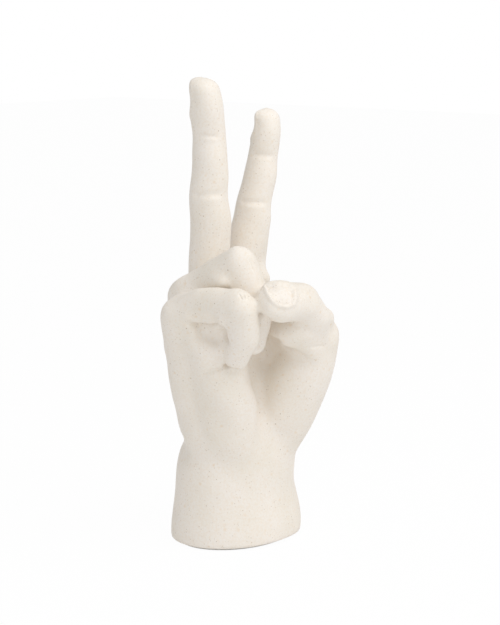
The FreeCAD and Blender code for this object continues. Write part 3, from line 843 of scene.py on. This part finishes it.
def hold_inside(bm, low, high):
    """Presses whatever stands out of a box back to its faces, softly over a band beside each."""
    for axis in range(3):
        for limit, way in ((low[axis], -1), (high[axis], 1)):
            ends = [vert.co[axis] * way for vert in bm.verts]
            start, end = limit * way - BOX_BAND, max(ends)
            if end > limit * way:
                share = BOX_BAND / (end - start)
                for vert, reach in zip(bm.verts, ends):
                    if reach > start:
                        vert.co[axis] = (start + (reach - start) * share) * way


def clay_skin(size):
    """The whole outside of the hand as one mesh in millimetres."""
    bm = melt(palm_mesh(size), size["palm_grain"], PALM_SMOOTHING)
    for digit in BONE_SHARES:
        digit_limbs(bm, digit, size)
    bm = melt(bm, size["skin_grain"], SKIN_SMOOTHING)
    cut_foot(bm, SKIN_LOW / MM)
    sculpt = Sculpt(bm)
    shape_forms(sculpt, size)
    carve_details(sculpt, size)
    hold_inside(bm, *[Vector(corner) / MM for corner in CAD_BOX])
    return bm


def cut_foot(bm, low):
    """Cuts the wrist off level, and rounds the foot's edge."""
    bmesh.ops.bisect_plane(bm, geom=bm.verts[:] + bm.edges[:] + bm.faces[:], plane_co=(0, 0, low),
                           plane_no=(0, 0, 1), clear_inner=True)
    bmesh.ops.holes_fill(bm, edges=[edge for edge in bm.edges if edge.is_boundary])
    bm.normal_update()
    for vert in bm.verts:
        depth = low + FOOT_ROUND - vert.co.z
        if depth > 0:
            outward = Vector((vert.normal.x, vert.normal.y, 0)).normalized()
            vert.co -= outward * (FOOT_ROUND - math.sqrt(max(FOOT_ROUND ** 2 - depth ** 2, 0)))


def finish_skin(bm, name):
    """Makes the mesh an object in metres."""
    bmesh.ops.transform(bm, matrix=Matrix.Scale(MM, 4), verts=bm.verts)
    bmesh.ops.recalc_face_normals(bm, faces=bm.faces)
    mesh = mesh_of(bm, name)
    mesh.shade_smooth()
    return linked(name, mesh)


# The smallest speck over the largest, and the faintest over the strongest.
SPECK_LEAST_SIZE, SPECK_LEAST_STRENGTH = .45, .35


class Nodes:
    """A material, and a short way to write its nodes."""

    def __init__(self, name):
        self.material = bpy.data.materials.new(name)
        self.material.use_nodes = True
        self.tree = self.material.node_tree
        self.shader = self.tree.nodes["Principled BSDF"]
        self.place = self.tree.nodes.new("ShaderNodeTexCoord").outputs["Object"]

    def add(self, kind, links=None, **values):
        """A node with settings and socket values, and links to its sockets by name or number."""
        node = self.tree.nodes.new("ShaderNode" + kind)
        for name, value in values.items():
            if hasattr(node, name):
                setattr(node, name, value)
            else:
                node.inputs[name.replace("_", " ")].default_value = value
        for socket, source in (links or {}).items():
            self.tree.links.new(source, node.inputs[socket])
        return node

    def feed(self, socket, value):
        """Links another node's output to a socket, or sets the socket's own value."""
        if isinstance(value, bpy.types.NodeSocket):
            self.tree.links.new(value, socket)
        else:
            socket.default_value = value

    def noise(self, scale, detail=2, roughness=.5, distortion=0):
        """Clouds of a size of one metre over the scale."""
        node = self.add("TexNoise", {"Vector": self.place}, Scale=scale, Detail=detail,
                        Roughness=roughness, Distortion=distortion)
        return node.outputs[0]

    def map(self, value, low, high, to_low=0, to_high=1):
        """A value moved from one range to another, and held there."""
        node = self.add("MapRange", {"Value": value})
        for name, number in (("From Min", low), ("From Max", high), ("To Min", to_low), ("To Max", to_high)):
            self.feed(node.inputs[name], number)
        return node.outputs["Result"]

    def sum(self, operation, first, second):
        """Arithmetic on two values, each a socket or a number."""
        node = self.add("Math", operation=operation)
        self.feed(node.inputs[0], first)
        self.feed(node.inputs[1], second)
        return node.outputs[0]

    def mix(self, factor, first, second):
        """One colour laid over another."""
        node = self.add("Mix", data_type="RGBA")
        for name, value in (("Factor", factor), ("A", first), ("B", second)):
            socket = next(socket for socket in node.inputs if socket.name == name and socket.enabled)
            if not isinstance(value, bpy.types.NodeSocket):
                value = (*value, 1)
            self.feed(socket, value)
        return next(socket for socket in node.outputs if socket.enabled)

    def specks(self, spacing, share, radius, blur):
        """Round specks: a share of the cells hold one each, and no two are alike."""
        cells = self.add("TexVoronoi", {"Vector": self.place}, Scale=1 / spacing, Randomness=1)
        parts = self.add("SeparateColor", {"Color": cells.outputs["Color"]})
        held = self.sum("LESS_THAN", parts.outputs[0], share)
        reach = self.map(parts.outputs[1], 0, 1, radius * SPECK_LEAST_SIZE / spacing, radius / spacing)
        inner = self.sum("MULTIPLY", reach, 1 - blur)
        spot = self.map(cells.outputs["Distance"], inner, reach, 1, 0)
        strength = self.map(parts.outputs[2], 0, 1, SPECK_LEAST_STRENGTH, 1)
        return self.sum("MULTIPLY", self.sum("MULTIPLY", spot, held), strength)

    def bump(self, height, strength, distance, below=None):
        """A relief of the given height in metres, over another relief or the bare surface."""
        links = {"Height": height}
        if below is not None:
            links["Normal"] = below
        return self.add("Bump", links, Strength=strength, Distance=distance).outputs["Normal"]

    def wire(self, **sockets):
        """Links and values for the shader."""
        for name, value in sockets.items():
            self.feed(self.shader.inputs[name.replace("_", " ")], value)


# The clay's specks: spacing, share of the cells that hold one, radius, blur and strength. The
# spacing and the radius are in millimetres.
SPECKS = {"tan": (4.2, .5, 1.2, .85, .55), "fine": (1.4, .55, .42, .6, .4), "dark": (2.7, .5, .42, .45, .6)}
# Cells to the metre in the clay's noises, then each relief's strength and height in metres.
CLOUD_SCALE, MOTTLE_SCALE, DENT_SCALE, GRAIN_SCALE, SHEEN_SCALE = 45, 900, 260, 1600, 300
MOTTLE_STRENGTH = .24
DENT_RELIEF, GRAIN_RELIEF, PIT_RELIEF = (.22, .00035), (.25, .00012), (.5, .00008)
CLAY_ROUGHNESS = (.52, .68)
CLAY_IOR = 1.48
FELT_SCALE, FELT_DISTORTION = 2200, 2.5
FELT_RELIEF = (.7, .0004)
FELT_SHADE = .8


def ceramic(name, colours):
    """Matt cream stoneware with fine brown and tan specks and a faintly grainy face."""
    nodes = Nodes(name)
    clouds = nodes.map(nodes.noise(CLOUD_SCALE, 3), .35, .7)
    colour = nodes.mix(clouds, colours.clay, colours.clay_warm)
    mottle = nodes.map(nodes.noise(MOTTLE_SCALE, 3, .7), .42, .7)
    colour = nodes.mix(nodes.sum("MULTIPLY", mottle, MOTTLE_STRENGTH), colour, colours.tan_speck)
    spots = {}
    for kind, (spacing, share, radius, blur, strength) in SPECKS.items():
        spots[kind] = nodes.specks(spacing * MM, share, radius * MM, blur)
        tint = colours.tan_speck if kind == "tan" else colours.brown_speck
        colour = nodes.mix(nodes.sum("MULTIPLY", spots[kind], strength), colour, tint)
    pits = nodes.map(nodes.sum("MAXIMUM", spots["dark"], spots["fine"]), 0, 1, 0, -1)
    relief = nodes.bump(nodes.noise(DENT_SCALE, 4, .6), *DENT_RELIEF)
    relief = nodes.bump(nodes.noise(GRAIN_SCALE), *GRAIN_RELIEF, relief)
    relief = nodes.bump(pits, *PIT_RELIEF, relief)
    sheen = nodes.map(nodes.noise(SHEEN_SCALE, 3), .3, .7, *CLAY_ROUGHNESS)
    nodes.wire(Base_Color=colour, Roughness=sheen, Normal=relief, IOR=CLAY_IOR)
    return nodes.material


def felt(name, colours):
    """Short pale wool felt."""
    nodes = Nodes(name)
    fibre = nodes.noise(FELT_SCALE, 4, distortion=FELT_DISTORTION)
    darker = tuple(part * FELT_SHADE for part in colours.felt)
    colour = nodes.mix(nodes.map(fibre, .3, .7), darker, colours.felt)
    nodes.wire(Base_Color=colour, Roughness=nodes.map(fibre, .3, .7, .95, .8),
               Normal=nodes.bump(fibre, *FELT_RELIEF))
    return nodes.material


class HAND_OT_skin(Operator):
    """Model the hand's ceramic skin"""
    bl_idname = "hand.skin"
    bl_label = "Ceramic skin"

    def execute(self, context):
        skin = finish_skin(clay_skin(sizes()), "ceramic_skin")
        skin.data.materials.append(ceramic("speckled stoneware", context.scene.hand_colours))
        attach(skin, "root")
        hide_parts(*SKIN_NODES)
        return {"FINISHED"}


class HAND_OT_foot(Operator):
    """Finish the plate and the felt under the foot"""
    bl_idname = "hand.foot"
    bl_label = "Foot plate and felt"

    def execute(self, context):
        colours = context.scene.hand_colours
        finishes = {"foot_plate": ceramic("foot stoneware", colours), "felt_base": felt("wool felt", colours)}
        for node, material in finishes.items():
            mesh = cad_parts[node].data
            mesh.materials.clear()
            mesh.materials.append(material)
        return {"FINISHED"}


# The stage in metres and watts. A lamp's place is to the camera's right, towards it and up.
FLOOR_HALF = 3
KEY_PLACE = (0.47, 0.34, 0.86)
KEY_SIZE, KEY_POWER = 0.8, 4.8
FILL_PLACE = (-0.35, 0.9, 0.35)
FILL_SIZE, FILL_POWER = 0.9, 0.9
WORLD_STRENGTH = 0.6
WHITE_FLOOR_SHARE = .97
CLIP_START = 0.01


def floor_material(name, colours):
    """A pale matt floor that the camera sees as near white, with the object's shadow on it."""
    nodes = Nodes(name)
    nodes.wire(Base_Color=(*colours.floor, 1), Roughness=.9)
    glow = nodes.add("Emission", Color=(1, 1, 1, 1), Strength=1)
    path = nodes.add("LightPath")
    shine = nodes.sum("MAXIMUM", path.outputs["Is Camera Ray"], path.outputs["Is Glossy Ray"])
    share = nodes.sum("MULTIPLY", shine, WHITE_FLOOR_SHARE)
    both = nodes.add("MixShader", {0: share, 1: nodes.shader.outputs[0], 2: glow.outputs[0]})
    output = nodes.tree.nodes["Material Output"]
    nodes.tree.links.new(both.outputs[0], output.inputs["Surface"])
    return nodes.material


def aimed(name, data, place, way):
    """A lamp or a camera at a place, looking along a way."""
    item = linked(name, data)
    item.location = place
    item.rotation_mode = "QUATERNION"
    item.rotation_quaternion = way.to_track_quat("-Z", "Y")
    return item


def soft_light(name, place, span, power):
    """A square lamp that faces the hand."""
    back, right, _ = view_axes()
    near = Vector((back.x, back.y, 0)).normalized()
    lamp = bpy.data.lights.new(name, "AREA")
    lamp.size = span
    lamp.energy = power
    stand = right * place[0] + near * place[1] + Vector((0, 0, place[2]))
    aimed(name, lamp, stand, CAMERA_TARGET - stand)


class HAND_OT_stage(Operator):
    """Lay the floor, and set the lights and the camera"""
    bl_idname = "hand.stage"
    bl_label = "Stage"

    def execute(self, context):
        scene = context.scene
        bm = bmesh.new()
        bmesh.ops.create_grid(bm, x_segments=1, y_segments=1, size=FLOOR_HALF)
        floor = linked("floor", mesh_of(bm, "floor"))
        floor.data.materials.append(floor_material("pale floor", scene.hand_colours))

        world = bpy.data.worlds.new("studio")
        world.use_nodes = True
        scene.world = world
        tree = world.node_tree
        sky = tree.nodes["Background"]
        sky.inputs["Color"].default_value = (1, 1, 1, 1)
        path = tree.nodes.new("ShaderNodeLightPath")
        level = tree.nodes.new("ShaderNodeMapRange")
        level.inputs["To Min"].default_value = WORLD_STRENGTH
        level.inputs["To Max"].default_value = 1
        tree.links.new(path.outputs["Is Camera Ray"], level.inputs["Value"])
        tree.links.new(level.outputs["Result"], sky.inputs["Strength"])

        soft_light("key", KEY_PLACE, KEY_SIZE, KEY_POWER)
        soft_light("fill", FILL_PLACE, FILL_SIZE, FILL_POWER)

        lens = bpy.data.cameras.new("camera")
        lens.lens = CAMERA_LENS
        lens.sensor_width = CAMERA_SENSOR
        lens.clip_start = CLIP_START
        scene.camera = aimed("camera", lens, camera_place(), -view_axes()[0])
        scene.view_settings.view_transform = "Standard"
        return {"FINISHED"}


class HAND_PT_sidebar(Panel):
    """The hand's tools and settings"""
    bl_idname = "HAND_PT_sidebar"
    bl_label = "Ceramic hand"
    bl_space_type = "VIEW_3D"
    bl_region_type = "UI"
    bl_category = "Hand"

    def draw(self, context):
        for group in (context.scene.hand_sizes, context.scene.hand_colours):
            for name in group.__annotations__:
                self.layout.prop(group, name)
        for operator in (HAND_OT_skin, HAND_OT_foot, HAND_OT_stage):
            self.layout.operator(operator.bl_idname)


CLASSES = (HandSizes, HandColours, HAND_OT_skin, HAND_OT_foot, HAND_OT_stage, HAND_PT_sidebar)


def register():
    for item in CLASSES:
        bpy.utils.register_class(item)
    bpy.types.Scene.hand_sizes = PointerProperty(type=HandSizes)
    bpy.types.Scene.hand_colours = PointerProperty(type=HandColours)


def unregister():
    del bpy.types.Scene.hand_colours
    del bpy.types.Scene.hand_sizes
    for item in reversed(CLASSES):
        bpy.utils.unregister_class(item)


def main():
    register()
    bpy.ops.hand.skin()
    bpy.ops.hand.foot()
    bpy.ops.hand.stage()


if __name__ == "__main__":
    main()
